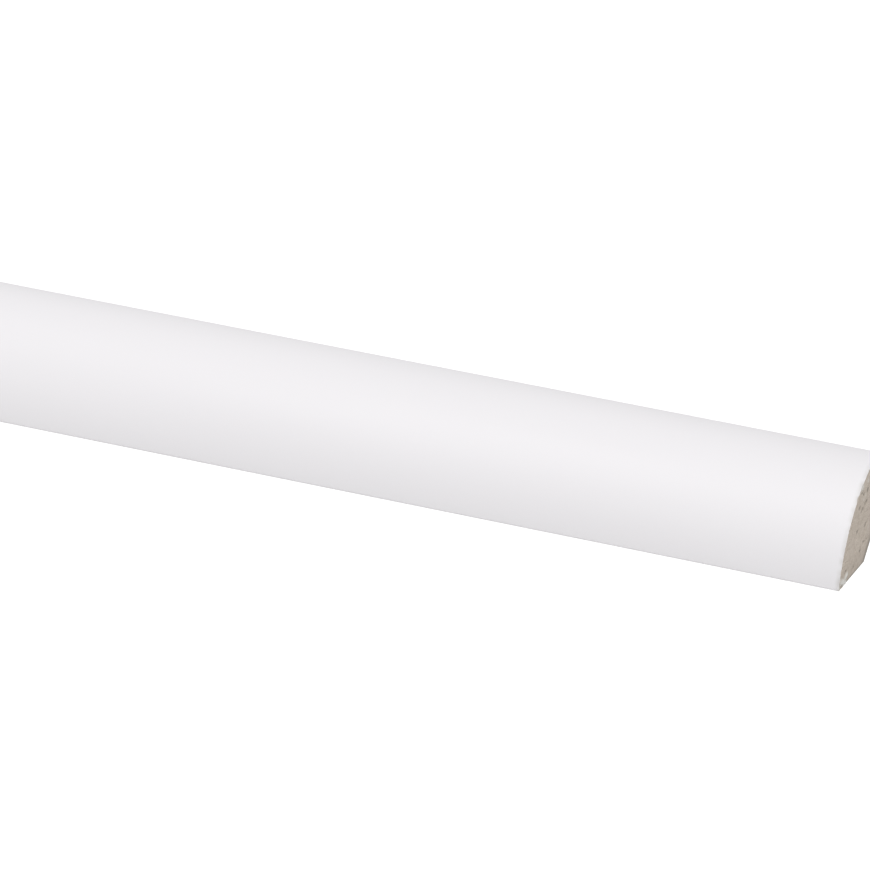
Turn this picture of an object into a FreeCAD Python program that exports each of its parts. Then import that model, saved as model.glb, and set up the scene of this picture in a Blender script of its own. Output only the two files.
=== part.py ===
import FreeCAD, Part
import math
import os

# Quarter round moulding: one stick of fibreboard, machined to its section and cut square at both ends.
# It lies on its floor leg. X runs along the stick, +Y faces the wall, Z is up from the floor,
# and the origin is under the middle of the stick, halfway across the floor leg.

# Driving dimensions, in millimetres
LEG = 18.0  # depth of the floor leg and height of the wall leg; the round face has this radius
STOCK_LENGTH = 2400.0  # a full stick as it is sold
HEEL_BEVEL = 3.0  # 45 degree relief along the heel, measured along each leg
ARRIS_RADIUS = 0.3  # easing of the two long edges where the round face meets the legs


def section_point(depth, height):
    """A point of the section on one end of the stick, measured from the corner of wall and floor."""
    return FreeCAD.Vector(-STOCK_LENGTH / 2, LEG / 2 - depth, height)


def section_line(start, end):
    """A straight side of the section between two (depth, height) points."""
    return Part.LineSegment(section_point(*start), section_point(*end)).toShape()


def section_arc(centre, radius, start_angle, end_angle):
    """A round side of the section. Angles are in radians, from the floor leg up towards the wall leg."""
    on_arc = []
    for angle in (start_angle, (start_angle + end_angle) / 2, end_angle):
        depth = centre[0] + radius * math.cos(angle)
        height = centre[1] + radius * math.sin(angle)
        on_arc.append(section_point(depth, height))
    return Part.Arc(*on_arc).toShape()


def quarter_round_section():
    """The closed section: floor leg, eased toe, quarter-circle face, eased top, wall leg and heel bevel."""
    quarter_turn = math.pi / 2
    # Each easing touches its leg and the inside of the face, whose centre is the corner of wall and floor.
    easing_along_leg = math.sqrt(LEG * (LEG - 2 * ARRIS_RADIUS))
    easing_angle = math.atan2(ARRIS_RADIUS, easing_along_leg)
    toe_centre = (easing_along_leg, ARRIS_RADIUS)
    top_centre = (ARRIS_RADIUS, easing_along_leg)
    sides = [
        section_line((HEEL_BEVEL, 0), (easing_along_leg, 0)),
        section_arc(toe_centre, ARRIS_RADIUS, -quarter_turn, easing_angle),
        section_arc((0, 0), LEG, easing_angle, quarter_turn - easing_angle),
        section_arc(top_centre, ARRIS_RADIUS, quarter_turn - easing_angle, 2 * quarter_turn),
        section_line((0, easing_along_leg), (0, HEEL_BEVEL)),
        section_line((0, HEEL_BEVEL), (HEEL_BEVEL, 0)),
    ]
    return Part.Face(Part.Wire(sides))


def quarter_round():
    """The whole stick: the section run along the stock's length."""
    return quarter_round_section().extrude(FreeCAD.Vector(STOCK_LENGTH, 0, 0))


os.makedirs("parts", exist_ok=True)
quarter_round().exportStep("parts/quarter_round.step")
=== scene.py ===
import math

import bmesh
import bpy
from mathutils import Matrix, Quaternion, Vector, noise


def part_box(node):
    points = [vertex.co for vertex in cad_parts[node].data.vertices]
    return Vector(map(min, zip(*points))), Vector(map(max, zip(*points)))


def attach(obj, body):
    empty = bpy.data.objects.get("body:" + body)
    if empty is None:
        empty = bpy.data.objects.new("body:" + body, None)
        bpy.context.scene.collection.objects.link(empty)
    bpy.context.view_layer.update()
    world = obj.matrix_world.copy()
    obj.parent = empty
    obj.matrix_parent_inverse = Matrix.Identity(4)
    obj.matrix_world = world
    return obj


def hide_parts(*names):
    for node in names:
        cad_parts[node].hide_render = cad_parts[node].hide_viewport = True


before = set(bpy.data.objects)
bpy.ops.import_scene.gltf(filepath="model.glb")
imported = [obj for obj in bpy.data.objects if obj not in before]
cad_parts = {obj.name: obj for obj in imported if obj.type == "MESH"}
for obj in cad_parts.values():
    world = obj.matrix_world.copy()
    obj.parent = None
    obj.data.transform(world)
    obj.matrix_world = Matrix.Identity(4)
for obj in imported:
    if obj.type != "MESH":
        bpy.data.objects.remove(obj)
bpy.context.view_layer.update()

# The stick: one length of fibreboard, run through a moulder to a quarter circle with a bevelled heel.
# A white finish covers the round face and turns a little way under both long edges, and a saw
# cuts the ends square through finish and board. Nothing is fixed to it.
FACE_RADIUS = 0.018
HEEL_BEVEL = 0.003
ARRIS_RADIUS = 0.0003
FINISH_TURN = 0.0025  # how far the finish runs on round each long edge onto the leg
FINISH_THICKNESS = 0.00015
FACE_STEPS = 156
ARRIS_STEPS = 6
END_RINGS = (0.0004, 0.0008, 0.0015, 0.003, 0.006, 0.012, 0.025)  # distances from each sawn end
RING_SPACING = 0.05
STRIP_CORNERS = 4  # long sides and the finish's cut edge are strips of four corners; a bare end has more
END_FACING = 0.5  # a side belongs to a sawn end where its normal leans further than this along the stick
SHARP_ANGLE = math.radians(30)  # sides that meet at more than this keep a sharp edge between them
WHITE, BACK, SAWN = range(3)

stick_low, stick_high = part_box("quarter_round")
stick_length = stick_high.x - stick_low.x
heel = Vector((stick_low.x, stick_high.y, stick_low.z))
arris_reach = math.sqrt(FACE_RADIUS * (FACE_RADIUS - 2 * ARRIS_RADIUS))
arris_angle = math.atan2(ARRIS_RADIUS, arris_reach)
finish_edge = arris_reach - FINISH_TURN
quarter_turn = math.pi / 2
up_the_face = Vector((-1, 0, 0))  # a turn about this axis runs from the toe to the top


def from_heel(depth, height):
    """A point of the section on the left end, measured from the corner of wall and floor."""
    return heel + Vector((0, -depth, height))


def straight_side(mesh, corner, end):
    """Runs the section's outline straight on from a corner and returns the new corner."""
    grown = bmesh.ops.extrude_vert_indiv(mesh, verts=[corner])
    grown["verts"][0].co = end
    return grown["verts"][0]


def round_side(mesh, corner, centre, angle, steps):
    """Swings the section's outline on from a corner about a centre and returns the new corner."""
    swung = bmesh.ops.spin(mesh, geom=[corner], cent=centre, axis=up_the_face, angle=angle, steps=steps)
    return next(part for part in swung["geom_last"] if isinstance(part, bmesh.types.BMVert))


stick_mesh = bmesh.new()
# The sawn board's darkening: painted shade in its pits, and darker along its lower edges
pit_shade_and_dark_edges = stick_mesh.verts.layers.float.new("pit_shade_and_dark_edges")
torn = stick_mesh.verts.layers.float.new("torn")
worn = stick_mesh.verts.layers.float.new("worn")
bake_map = stick_mesh.loops.layers.uv.new("OFBake")
first_corner = stick_mesh.verts.new(from_heel(HEEL_BEVEL, 0))
corner = straight_side(stick_mesh, first_corner, from_heel(finish_edge, 0))
corner = straight_side(stick_mesh, corner, from_heel(arris_reach, 0))
eased = quarter_turn + arris_angle
corner = round_side(stick_mesh, corner, from_heel(arris_reach, ARRIS_RADIUS), eased, ARRIS_STEPS)
corner = round_side(stick_mesh, corner, heel, quarter_turn - 2 * arris_angle, FACE_STEPS)
corner = round_side(stick_mesh, corner, from_heel(ARRIS_RADIUS, arris_reach), eased, ARRIS_STEPS)
corner = straight_side(stick_mesh, corner, from_heel(0, finish_edge))
corner = straight_side(stick_mesh, corner, from_heel(0, HEEL_BEVEL))
stick_mesh.edges.new((corner, first_corner))
section = bmesh.ops.contextual_create(stick_mesh, geom=stick_mesh.edges[:])["faces"]
bmesh.ops.inset_region(stick_mesh, faces=section, thickness=FINISH_THICKNESS, use_even_offset=True)
left_end = stick_mesh.verts[:] + stick_mesh.edges[:] + stick_mesh.faces[:]
right_end = bmesh.ops.duplicate(stick_mesh, geom=left_end)["geom"]
right_corners = [part for part in right_end if isinstance(part, bmesh.types.BMVert)]
bmesh.ops.translate(stick_mesh, verts=right_corners, vec=(stick_length, 0, 0))
outlines = [edge for edge in stick_mesh.edges if edge.is_boundary]
bmesh.ops.bridge_loops(stick_mesh, edges=outlines)
bmesh.ops.recalc_face_normals(stick_mesh, faces=stick_mesh.faces[:])

# Rings across the stick, close together near the sawn ends
cuts = [stick_low.x + ring for ring in END_RINGS] + [stick_high.x - ring for ring in END_RINGS]
spans = round(stick_length / RING_SPACING)
cuts += [stick_low.x + stick_length * span / spans for span in range(1, spans)]
for cut in cuts:
    whole = stick_mesh.verts[:] + stick_mesh.edges[:] + stick_mesh.faces[:]
    bmesh.ops.bisect_plane(stick_mesh, geom=whole, plane_co=(cut, 0, 0), plane_no=(1, 0, 0))

# Each side takes its finish from where it lies on the section
for side in stick_mesh.faces:
    middle = side.calc_center_median() - heel
    depth, height = -middle.y, middle.z
    on_round = math.hypot(depth, height) > FACE_RADIUS - 2 * FINISH_THICKNESS
    strip = len(side.verts) <= STRIP_CORNERS
    if strip and (on_round or max(depth, height) > finish_edge):
        side.material_index = WHITE
    else:
        side.material_index = SAWN if abs(side.normal.x) > END_FACING else BACK
    side.smooth = True
for edge in stick_mesh.edges:
    edge.smooth = edge.calc_face_angle(0.0) < SHARP_ANGLE

# A grid over the sawn ends, fine enough for pits and torn fibre
CELL = 0.00015
TOUCHING = CELL / 10  # points this close count as one
cells = round(FACE_RADIUS / CELL)
for direction in (Vector((0, 1, 0)), Vector((0, 0, 1))):
    for cell in range(1, cells):
        place = heel + Vector((0, -1, 1)) * (FACE_RADIUS * cell / cells)
        ends = [face for face in stick_mesh.faces if face.material_index == SAWN]
        parts = ends + list({edge for face in ends for edge in face.edges})
        parts += list({corner for face in ends for corner in face.verts})
        bmesh.ops.bisect_plane(stick_mesh, geom=parts, dist=TOUCHING, plane_co=place, plane_no=direction)

# A map of the surface, for a picture of its looks: the sawn ends as two squares, and under them the long
# sides in four strips, two from each end. The last few millimetres are drawn out to keep the worn finish.
END_SQUARE = 0.46
END_SQUARE_FOOT = 0.53
END_SQUARE_MARGIN = 0.02
END_SQUARE_PITCH = 0.5
STRIP_PITCH = 0.125
STRIP_WIDTH = 0.105
STRIP_MARGIN = 0.006
FINISH_GAP = 0.008  # between the finish and the bare board
SECTION_MIDDLE = 0.006  # depth and height of a point that the whole outline can be seen from
OUTER_STRIP = 0.6  # length of stick on the strip next to a sawn end
DRAWN_OUT = 0.003  # this much at the sawn end
DRAWN_OUT_MORE = 0.02  # is longer on the map by this


def from_end(point):
    """How far along the stick a point lies from the nearer sawn end."""
    return stick_high.x - abs(point.x)


def round_the_section(point):
    """A point's way round the section, as a share, from the finish's lower edge up over the face."""
    turn = math.atan2(point.z - heel.z - SECTION_MIDDLE, heel.y - point.y - SECTION_MIDDLE)
    start = math.atan2(-SECTION_MIDDLE, finish_edge - SECTION_MIDDLE)
    return (turn - start) / math.tau % 1


def on_end_square(point):
    """A sawn end's point on the map."""
    across = (heel.y - point.y) / FACE_RADIUS
    left = END_SQUARE_MARGIN
    if point.x > 0:
        across = 1 - across
        left += END_SQUARE_PITCH
    return left + END_SQUARE * across, END_SQUARE_FOOT + END_SQUARE * (point.z - heel.z) / FACE_RADIUS


def on_strip(side, point):
    """A long side's point on the map."""
    middle = side.calc_center_median()
    inner = from_end(middle) > OUTER_STRIP
    along = from_end(point) + DRAWN_OUT_MORE * min(1.0, from_end(point) / DRAWN_OUT)
    along = along / (OUTER_STRIP + DRAWN_OUT_MORE) - inner
    if middle.x > 0:
        along = 1 - along
    turn = round_the_section(point)
    turn += round(round_the_section(middle) - turn)
    strip = 2 * (middle.x > 0) + inner
    foot = STRIP_PITCH * strip + STRIP_MARGIN + FINISH_GAP * (side.material_index == BACK)
    return STRIP_MARGIN + (1 - 2 * STRIP_MARGIN) * along, foot + STRIP_WIDTH * turn


stick_mesh.normal_update()
for side in stick_mesh.faces:
    for loop in side.loops:
        if abs(side.normal.x) > END_FACING:
            loop[bake_map].uv = on_end_square(loop.vert.co)
        else:
            loop[bake_map].uv = on_strip(side, loop.vert.co)

# What the saw left: the board a little behind the finish's edge, with torn fibre, small pits with painted
# shade in them, lower edges painted darker and white dust from the finish, whose own edge is chipped and
# worn. The seen end, at +X, also has larger pits with painted shade, pale tufts and a flake torn up beside
# the toe. Places are depth and height from the heel.
SAW_SINK = 0.00008
MOST_SINK = 0.0004
NOISE_STEP = 2.0  # each of the noises that add up is this much finer than the one before
NOISE_FALL = 1.0  # and weaker by the step to this power
FIBRE_SIZE = 0.0006
FIBRE_RELIEF = 0.000012
FIBRE_NOISES = 4
RAGGED_SIZE = 0.0006
RAGGED_SHIFT = 0.0003
RAGGED_APART = Vector((0, 0, 17.3))  # between the noises of the two shifts, in grains
PIT_SIZE = 0.0007
PIT_PULL = 1.7  # pits are drawn out along the board's layers
PIT_RARITY = 0.42
PIT_DEPTH = 0.0007
FIRM_EDGE = 0.0007  # the board's own edges are left whole this far in
# the sawn board is made darker along its floor edge and heel bevel, and a little darker further in towards
# them
FLOOR_EDGE_REACH = 0.0005
HEEL_EDGE_REACH = 0.0022
DARKEST_EDGE = 0.8
LOW_EDGE_DARK_REACH = 0.0045
LOW_EDGE_DARK_SHARE = 0.2
DUST_REACH = 0.0005
DUST_SIZE = 0.0012
DUST_SHARE = 0.45
SEEN_PIT_SINK = 0.0002
# painted shade in the seen pits
DARKEST_PIT_SHADE = 0.95
SEEN_PITS = (  # place and radius
    (0.0053, 0.0132, 0.0007),
    (0.0088, 0.0138, 0.0005),
    (0.0078, 0.0132, 0.0005),
    (0.0053, 0.0113, 0.0004),
    (0.0061, 0.0111, 0.0005),
    (0.0096, 0.0114, 0.0004),
    (0.0075, 0.0106, 0.0005),
    (0.0080, 0.0104, 0.0005),
    (0.0094, 0.0074, 0.0006),
    (0.0046, 0.0069, 0.0006),
    (0.0046, 0.0040, 0.0005),
    (0.0062, 0.0029, 0.0005),
    (0.0093, 0.0013, 0.0005),
    (0.0143, 0.0021, 0.0005),
    (0.0156, 0.0003, 0.0006),
    (0.0172, 0.0010, 0.0003),
)
FLAKE_SPLINTERS = (  # from place to place
    (Vector((0.0170, 0.0013)), Vector((0.0139, 0.0001))),
    (Vector((0.0158, 0.0009)), Vector((0.0133, 0.0014))),
)
FLAKE_WIDTH = 0.0008
FLAKE_SHARE = 0.9
SEEN_TUFTS = (  # place, radius and share of white
    (0.0028, 0.0061, 0.0004, 0.4),
    (0.0060, 0.0151, 0.0008, 0.5),
    (0.0066, 0.0127, 0.0005, 0.5),
    (0.0075, 0.0123, 0.0005, 0.5),
    (0.0090, 0.0148, 0.0014, 0.7),
    (0.0175, 0.0003, 0.0009, 0.8),
)
SEEN_CHIPS = ((0.0116, 0.01375, 0.0009, 0.00015),)  # place, radius and depth
CHIP_SIZE = 0.0012
CHIP_DEPTH = 0.0002
CHIP_RARITY = 0.15
CHIP_NOISES = 3
WORN_REACH = 0.0008
WORN_SIZE = 0.0009
WORN_SHARE = 0.45
SEEN_WEAR = (  # place, radius and share
    (0.0093, 0.0152, 0.0015, 0.9),
    (0.0178, 0.0015, 0.0018, 0.8),
)


def fade(distance, reach):
    """1 at a distance of nothing, falling smoothly to 0 at the reach."""
    share = min(1.0, max(0.0, 1.0 - distance / reach))
    return share * share * (3 - 2 * share)


def on_section(point):
    """A point's place: its depth and height from the heel."""
    return Vector((heel.y - point.y, point.z - heel.z))


def ragged(point):
    """A point's place, shifted a little here and there to make marks ragged."""
    across = RAGGED_SHIFT * noise.noise(point / RAGGED_SIZE)
    up = RAGGED_SHIFT * noise.noise(point / RAGGED_SIZE + RAGGED_APART)
    return on_section(point) + Vector((across, up))


def strongest(marks, place):
    """The most that any mark gives a place. Each ends with its radius and what its middle gives."""
    most = 0.0
    for depth, height, radius, middle in marks:
        away = (place - Vector((depth, height))).length
        most = max(most, middle * fade(away, radius))
    return most


def pit(place, centre, radius):
    """A place's share of a pit in the torn board."""
    away = place - centre
    away.x /= PIT_PULL
    return fade(away.length, radius)


def splinter(place, root, tip):
    """A place's share of a splinter that runs from its root to its tip."""
    reach = tip - root
    along = min(1.0, max(0.0, (place - root).dot(reach) / reach.length_squared))
    return FLAKE_SHARE * fade((place - root - reach * along).length, FLAKE_WIDTH)


def saw_marks(point):
    """How far a point of the sawn board is sunk, how dark it is painted for pit shade and lower edges, and
    how white.
    """
    place = on_section(point)
    layered = Vector((point.x, point.y / PIT_PULL, point.z))
    rare_pit = max(0.0, noise.noise(layered / PIT_SIZE) - PIT_RARITY)
    fibre = noise.fractal(point / FIBRE_SIZE, NOISE_FALL, NOISE_STEP, FIBRE_NOISES)
    from_bevel = (place.x + place.y - HEEL_BEVEL) / math.sqrt(2)
    loose = 1 - fade(min(place.x, place.y, from_bevel), FIRM_EDGE)
    sink = SAW_SINK + loose * (FIBRE_RELIEF * fibre + PIT_DEPTH * rare_pit)
    # darker along the floor edge and the heel bevel, with painted shade in the pits
    edge = max(fade(place.y, FLOOR_EDGE_REACH), fade(from_bevel, HEEL_EDGE_REACH))
    low_edge_dark = LOW_EDGE_DARK_SHARE * fade(min(place.y, from_bevel), LOW_EDGE_DARK_REACH)
    dark = max(DARKEST_EDGE * edge, rare_pit, low_edge_dark)
    dust = DUST_SHARE * (1 + noise.noise(point / DUST_SIZE))
    white = dust * fade(FACE_RADIUS - place.length, DUST_REACH)
    if point.x > 0:
        shifted = ragged(point)
        for depth, height, radius in SEEN_PITS:
            in_pit = pit(shifted, Vector((depth, height)), radius)
            sink += loose * SEEN_PIT_SINK * in_pit
            # painted shade in the seen pit
            dark = max(dark, DARKEST_PIT_SHADE * in_pit)
        flake = max(splinter(shifted, root, tip) for root, tip in FLAKE_SPLINTERS)
        sink *= 1 - flake
        white = max(white, strongest(SEEN_TUFTS, shifted), flake)
    return min(MOST_SINK, max(0.0, sink)), dark, min(1.0, white)


def finish_chip(point):
    """How far the edge of the finish is chipped back at a point of it."""
    breakage = noise.fractal(point / CHIP_SIZE, NOISE_FALL, NOISE_STEP, CHIP_NOISES)
    chip = CHIP_DEPTH * max(0.0, breakage - CHIP_RARITY)
    if point.x > 0:
        chip = max(chip, strongest(SEEN_CHIPS, on_section(point)))
    return chip


def finish_wear(point):
    """How far the finish is worn at a point of it, most at the saw cut."""
    share = WORN_SHARE * (1 + noise.noise(point / WORN_SIZE))
    if point.x > 0:
        share = max(share, strongest(SEEN_WEAR, on_section(point)))
    return min(1.0, share) * fade(from_end(point), WORN_REACH)


for point in stick_mesh.verts:
    finished = any(face.material_index == WHITE for face in point.link_faces)
    if finished:
        point[worn] = finish_wear(point.co)
    if from_end(point.co) > TOUCHING:
        continue
    if finished:
        sink = finish_chip(point.co)
        point[torn] = DUST_SHARE
    else:
        sink, point[pit_shade_and_dark_edges], point[torn] = saw_marks(point.co)
    point.co.x -= math.copysign(sink, point.co.x)

stick_data = bpy.data.meshes.new("quarter_round_stick")
stick_mesh.to_mesh(stick_data)
stick_mesh.free()
stick = bpy.data.objects.new("quarter_round_stick", stick_data)
bpy.context.scene.collection.objects.link(stick)


def stick_material(name):
    """A new material for the stick, with its shader and its own coordinates in metres."""
    material = bpy.data.materials.new(name)
    material.use_nodes = True
    shader = material.node_tree.nodes["Principled BSDF"]
    place = material.node_tree.nodes.new("ShaderNodeTexCoord").outputs["Object"]
    stick_data.materials.append(material)
    return material, shader, place


def grain(material, place, size, detail, stretch, fineness=0.5):
    """A noise of about this grain size in metres, drawn out along an axis where its stretch is over 1."""
    nodes, links = material.node_tree.nodes, material.node_tree.links
    mapping = nodes.new("ShaderNodeMapping")
    mapping.inputs["Scale"].default_value = [1 / (size * pull) for pull in stretch]
    links.new(place, mapping.inputs["Vector"])
    pattern = nodes.new("ShaderNodeTexNoise")
    pattern.inputs["Scale"].default_value = 1.0
    pattern.inputs["Detail"].default_value = detail
    pattern.inputs["Roughness"].default_value = fineness
    links.new(mapping.outputs["Vector"], pattern.inputs["Vector"])
    return pattern.outputs["Fac"]


def tones(material, value, stops):
    """Colours laid over a value, as (place, colour) stops."""
    ramp = material.node_tree.nodes.new("ShaderNodeValToRGB")
    while len(ramp.color_ramp.elements) < len(stops):
        ramp.color_ramp.elements.new(1.0)
    for element, (place, colour) in zip(ramp.color_ramp.elements, stops):
        element.position = place
        element.color = (*colour, 1)
    material.node_tree.links.new(value, ramp.inputs["Fac"])
    return ramp.outputs["Color"]


def laid_over(material, below, colour, share):
    """A colour laid over another by a share from 0 to 1."""
    mix = material.node_tree.nodes.new("ShaderNodeMix")
    mix.data_type = "RGBA"
    mix.inputs["B"].default_value = (*colour, 1)
    material.node_tree.links.new(share, mix.inputs["Factor"])
    material.node_tree.links.new(below, mix.inputs["A"])
    return mix.outputs["Result"]


def mark(material, name):
    """A mark stored on the mesh, as a value from 0 to 1: worn finish, torn fibre, and painted pit shade
    with darker edges.
    """
    attribute = material.node_tree.nodes.new("ShaderNodeAttribute")
    attribute.attribute_name = name
    return attribute.outputs["Fac"]


def mixed(material, coarse, fine, share):
    """A coarse noise with a share of a fine one in it."""
    mix = material.node_tree.nodes.new("ShaderNodeMix")
    mix.inputs["Factor"].default_value = share
    material.node_tree.links.new(coarse, mix.inputs["A"])
    material.node_tree.links.new(fine, mix.inputs["B"])
    return mix.outputs["Result"]


def frayed(material, share, fibre, contrast):
    """A mark's share, stronger and weaker from fibre to fibre, but the same on the whole."""
    nodes, links = material.node_tree.nodes, material.node_tree.links
    strength = nodes.new("ShaderNodeMath")
    strength.operation = "MULTIPLY_ADD"
    strength.inputs[1].default_value = contrast
    strength.inputs[2].default_value = 1 - contrast / 2  # a noise is a half on the whole
    links.new(fibre, strength.inputs[0])
    varied = nodes.new("ShaderNodeMath")
    varied.operation = "MULTIPLY"
    links.new(share, varied.inputs[0])
    links.new(strength.outputs["Value"], varied.inputs[1])
    return varied.outputs["Value"]


def uneven_gloss(material, value, smoothest, roughest):
    """A roughness that follows a noise, from the smoothest at 0 to the roughest at 1."""
    gloss = material.node_tree.nodes.new("ShaderNodeMapRange")
    gloss.inputs["To Min"].default_value = smoothest
    gloss.inputs["To Max"].default_value = roughest
    material.node_tree.links.new(value, gloss.inputs["Value"])
    return gloss.outputs["Result"]


def dulled(material, gloss, roughness, share):
    """A roughness brought up to that of the worn finish by a share from 0 to 1."""
    mix = material.node_tree.nodes.new("ShaderNodeMix")
    mix.inputs["B"].default_value = roughness
    material.node_tree.links.new(share, mix.inputs["Factor"])
    material.node_tree.links.new(gloss, mix.inputs["A"])
    return mix.outputs["Result"]


def relief(material, shader, value, height, strength):
    """Fine relief too small for the mesh: the value raises the surface by up to a height in metres."""
    bump = material.node_tree.nodes.new("ShaderNodeBump")
    bump.inputs["Strength"].default_value = strength
    bump.inputs["Distance"].default_value = height
    material.node_tree.links.new(value, bump.inputs["Height"])
    material.node_tree.links.new(bump.outputs["Normal"], shader.inputs["Normal"])


# The white finish: satin, with faint clouds and a slight ripple that both run along the stick
WHITE_SMOOTHEST = 0.26
WHITE_ROUGHEST = 0.46
WHITE_TONES = (
    (0.3, (0.853, 0.837, 0.856)),
    (0.7, (0.861, 0.845, 0.864)),
)
WORN_FINISH = (0.60, 0.58, 0.555)
WORN_ROUGHNESS = 0.75
CLOUD_SIZE = 0.012
CLOUD_DETAIL = 2.0
CLOUD_STRETCH = (8, 1, 1)
RIPPLE_SIZE = 0.0011
RIPPLE_DETAIL = 2.0
RIPPLE_STRETCH = (2, 1, 1)
RIPPLE_HEIGHT = 0.00001
RIPPLE_STRENGTH = 0.4
white_finish, white_shader, white_place = stick_material("white_finish")
clouds = grain(white_finish, white_place, CLOUD_SIZE, CLOUD_DETAIL, CLOUD_STRETCH)
white_tones = tones(white_finish, clouds, WHITE_TONES)
worn_share = mark(white_finish, "worn")
white_tones = laid_over(white_finish, white_tones, WORN_FINISH, worn_share)
white_finish.node_tree.links.new(white_tones, white_shader.inputs["Base Color"])
white_gloss = uneven_gloss(white_finish, clouds, WHITE_SMOOTHEST, WHITE_ROUGHEST)
white_gloss = dulled(white_finish, white_gloss, WORN_ROUGHNESS, worn_share)
white_finish.node_tree.links.new(white_gloss, white_shader.inputs["Roughness"])
ripple = grain(white_finish, white_place, RIPPLE_SIZE, RIPPLE_DETAIL, RIPPLE_STRETCH)
relief(white_finish, white_shader, ripple, RIPPLE_HEIGHT, RIPPLE_STRENGTH)

# The machined board on the backs of the legs and the heel bevel: felted hairs with the cutter's streaks
MACHINED_SMOOTHEST = 0.7
MACHINED_ROUGHEST = 1.0
MACHINED_TONES = (
    (0.36, (0.46, 0.40, 0.33)),
    (0.5, (0.55, 0.49, 0.41)),
    (0.64, (0.62, 0.56, 0.48)),
)
FELT_SIZE = 0.0008
FELT_DETAIL = 6.0
FELT_STRETCH = (2.5, 1, 1)
FELT_FINENESS = 0.68
HAIR_SIZE = 0.00016
HAIR_DETAIL = 3.0
HAIR_STRETCH = (3, 1, 1)
HAIR_FINENESS = 0.6
HAIR_SHARE = 0.5
STREAK_SIZE = 0.0005
STREAK_DETAIL = 4.0
STREAK_STRETCH = (60, 1, 1)
STREAK_HEIGHT = 0.00003
STREAK_STRENGTH = 0.5
machined_board, machined_shader, machined_place = stick_material("machined_fibreboard")
felt = grain(machined_board, machined_place, FELT_SIZE, FELT_DETAIL, FELT_STRETCH, FELT_FINENESS)
hairs = grain(machined_board, machined_place, HAIR_SIZE, HAIR_DETAIL, HAIR_STRETCH, HAIR_FINENESS)
machined_tones = tones(machined_board, mixed(machined_board, felt, hairs, HAIR_SHARE), MACHINED_TONES)
machined_board.node_tree.links.new(machined_tones, machined_shader.inputs["Base Color"])
machined_gloss = uneven_gloss(machined_board, felt, MACHINED_SMOOTHEST, MACHINED_ROUGHEST)
machined_board.node_tree.links.new(machined_gloss, machined_shader.inputs["Roughness"])
streaks = grain(machined_board, machined_place, STREAK_SIZE, STREAK_DETAIL, STREAK_STRETCH)
relief(machined_board, machined_shader, streaks, STREAK_HEIGHT, STREAK_STRENGTH)

# The sawn board on the ends: strands of fibre that lie along the board's layers and fray the marks on it,
# the white torn fibre and the painted shade in the pits with the darker lower edges
SAWN_SMOOTHEST = 0.84
SAWN_ROUGHEST = 1.0
SAWN_TONES = (
    (0.36, (0.44, 0.375, 0.31)),
    (0.5, (0.56, 0.49, 0.42)),
    (0.64, (0.65, 0.58, 0.505)),
)
# the colour of the painted shade in the pits and of the darker lower edges
DARK_EDGE_AND_PIT_SHADE_BOARD = (0.225, 0.20, 0.17)
TORN_BOARD = (0.76, 0.755, 0.72)
LAYER_SIZE = 0.0009
LAYER_DETAIL = 6.0
LAYER_STRETCH = (1, 1.8, 1)
LAYER_FINENESS = 0.72
STRAND_SIZE = 0.00012
STRAND_DETAIL = 3.0
STRAND_STRETCH = (1, 4, 1)
STRAND_FINENESS = 0.6
STRAND_SHARE = 0.55
STRAND_HEIGHT = 0.00004
STRAND_STRENGTH = 0.7
FRAY = 2.4
sawn_board, sawn_shader, sawn_place = stick_material("sawn_fibreboard")
layers = grain(sawn_board, sawn_place, LAYER_SIZE, LAYER_DETAIL, LAYER_STRETCH, LAYER_FINENESS)
strands = grain(sawn_board, sawn_place, STRAND_SIZE, STRAND_DETAIL, STRAND_STRETCH, STRAND_FINENESS)
sawn_tones = tones(sawn_board, mixed(sawn_board, layers, strands, STRAND_SHARE), SAWN_TONES)
# painted shade in the pits and the darker lower edges, laid over the board's tones
dark_edge_and_pit_shade_share = frayed(sawn_board, mark(sawn_board, "pit_shade_and_dark_edges"), strands, FRAY)
sawn_tones = laid_over(sawn_board, sawn_tones, DARK_EDGE_AND_PIT_SHADE_BOARD, dark_edge_and_pit_shade_share)
torn_share = frayed(sawn_board, mark(sawn_board, "torn"), strands, FRAY)
sawn_tones = laid_over(sawn_board, sawn_tones, TORN_BOARD, torn_share)
sawn_board.node_tree.links.new(sawn_tones, sawn_shader.inputs["Base Color"])
sawn_gloss = uneven_gloss(sawn_board, strands, SAWN_SMOOTHEST, SAWN_ROUGHEST)
sawn_board.node_tree.links.new(sawn_gloss, sawn_shader.inputs["Roughness"])
relief(sawn_board, sawn_shader, strands, STRAND_HEIGHT, STRAND_STRENGTH)

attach(stick, "root")
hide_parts("quarter_round")

# The floor: a plain pale sheet that the stick lies on, far wider than any view. It is lit from below as
# a light table is, and glows more to the camera alone, so that it is white in the picture.
FLOOR_HALF = 40.0
FLOOR_BOUNCE = 0.2
FLOOR_GLOW = 0.55
SEEN_GLOW = 0.42
floor_mesh = bmesh.new()
bmesh.ops.create_grid(floor_mesh, x_segments=1, y_segments=1, size=FLOOR_HALF)
bmesh.ops.translate(floor_mesh, verts=floor_mesh.verts[:], vec=(0, 0, stick_low.z))
floor_data = bpy.data.meshes.new("floor")
floor_mesh.to_mesh(floor_data)
floor_mesh.free()
floor = bpy.data.objects.new("floor", floor_data)
bpy.context.scene.collection.objects.link(floor)
pale_floor = bpy.data.materials.new("pale_floor")
pale_floor.use_nodes = True
floor_shader = pale_floor.node_tree.nodes["Principled BSDF"]
floor_shader.inputs["Base Color"].default_value = (FLOOR_BOUNCE, FLOOR_BOUNCE, FLOOR_BOUNCE, 1)
floor_shader.inputs["Roughness"].default_value = 1.0
floor_shader.inputs["Specular IOR Level"].default_value = 0.0
floor_shader.inputs["Emission Color"].default_value = (1, 1, 1, 1)
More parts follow.
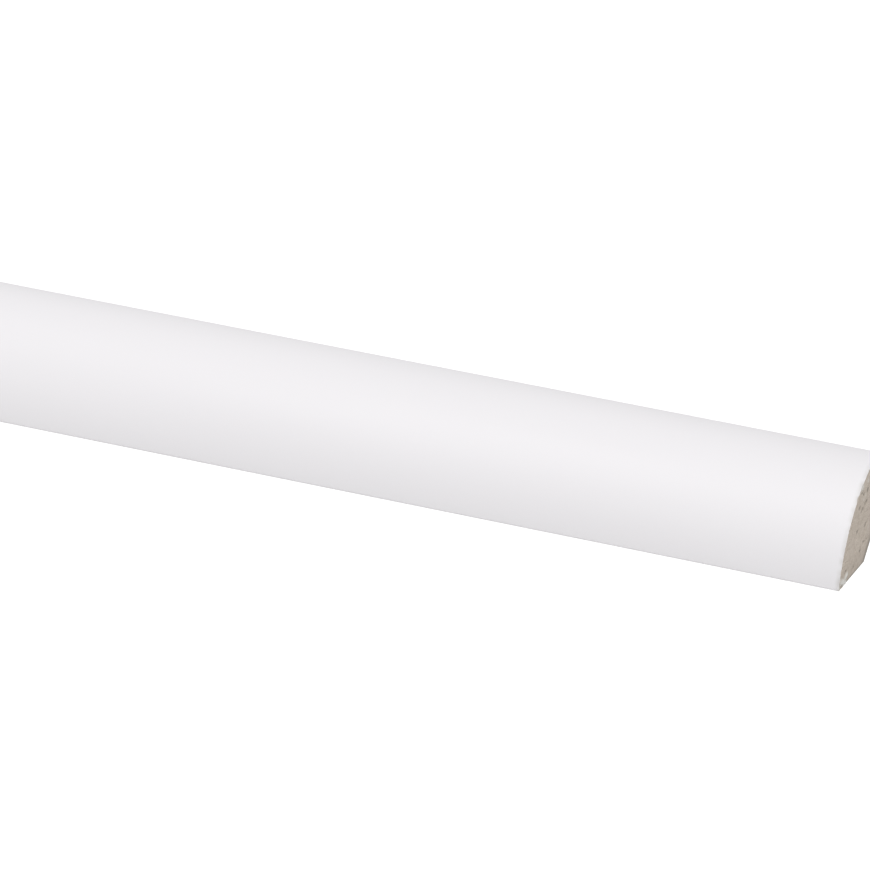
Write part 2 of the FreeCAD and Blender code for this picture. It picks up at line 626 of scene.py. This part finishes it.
floor_path = pale_floor.node_tree.nodes.new("ShaderNodeLightPath")
seen_glow = pale_floor.node_tree.nodes.new("ShaderNodeMath")
seen_glow.operation = "MULTIPLY_ADD"
seen_glow.inputs[1].default_value = SEEN_GLOW
seen_glow.inputs[2].default_value = FLOOR_GLOW
pale_floor.node_tree.links.new(floor_path.outputs["Is Camera Ray"], seen_glow.inputs[0])
pale_floor.node_tree.links.new(seen_glow.outputs["Value"], floor_shader.inputs["Emission Strength"])
floor_data.materials.append(pale_floor)

# The studio: a wide soft key high in front and to the right of the seen end, in an even surround that
# the camera sees as a white backdrop.
KEY_FROM = Vector((0.3, -0.418, 0.857))
KEY_STRENGTH = 2.07
KEY_SPREAD = 50.0
SURROUND = 0.41
key_data = bpy.data.lights.new("key", "SUN")
key_data.energy = KEY_STRENGTH
key_data.angle = math.radians(KEY_SPREAD)
key = bpy.data.objects.new("key", key_data)
bpy.context.scene.collection.objects.link(key)
key.rotation_mode = "QUATERNION"
key.rotation_quaternion = KEY_FROM.to_track_quat("Z", "Y")
studio = bpy.data.worlds.new("studio")
studio.use_nodes = True
studio_nodes = studio.node_tree.nodes
studio_links = studio.node_tree.links
surround = studio_nodes["Background"]
surround.inputs["Color"].default_value = (1, 1, 1, 1)
surround.inputs["Strength"].default_value = SURROUND
backdrop = studio_nodes.new("ShaderNodeBackground")
backdrop.inputs["Color"].default_value = (1, 1, 1, 1)
seen_studio = studio_nodes.new("ShaderNodeMixShader")
studio_path = studio_nodes.new("ShaderNodeLightPath")
studio_links.new(studio_path.outputs["Is Camera Ray"], seen_studio.inputs["Fac"])
studio_links.new(surround.outputs["Background"], seen_studio.inputs[1])
studio_links.new(backdrop.outputs["Background"], seen_studio.inputs[2])
studio_links.new(seen_studio.outputs["Shader"], studio_nodes["World Output"].inputs["Surface"])
bpy.context.scene.world = studio
bpy.context.scene.view_settings.view_transform = "Standard"

# The camera: a long lens in front of the seen end, a little above it and tipped a few degrees.
VIEW_AZIMUTH = 18.44
VIEW_ELEVATION = 20.11
VIEW_ROLL = 4.65
VIEW_DISTANCE = 0.8989
LENS = 226.7
CLIP_NEAR = 0.01
CLIP_FAR = 200.0
AIM_FROM_END = 0.07306
AIM_ACROSS = 0.00163
AIM_HEIGHT = 0.00878
turn = math.radians(VIEW_AZIMUTH)
rise = math.radians(VIEW_ELEVATION)
level_reach = math.cos(rise)
towards_camera = Vector((math.sin(turn) * level_reach, -math.cos(turn) * level_reach, math.sin(rise)))
aim = Vector((stick_high.x - AIM_FROM_END, AIM_ACROSS, stick_low.z + AIM_HEIGHT))
camera_data = bpy.data.cameras.new("camera")
camera_data.lens = LENS
camera_data.clip_start = CLIP_NEAR
camera_data.clip_end = CLIP_FAR
camera = bpy.data.objects.new("camera", camera_data)
bpy.context.scene.collection.objects.link(camera)
camera.location = aim + towards_camera * VIEW_DISTANCE
camera.rotation_mode = "QUATERNION"
level = (-towards_camera).to_track_quat("-Z", "Y")
camera.rotation_quaternion = level @ Quaternion((0, 0, 1), math.radians(VIEW_ROLL))
bpy.context.scene.camera = camera
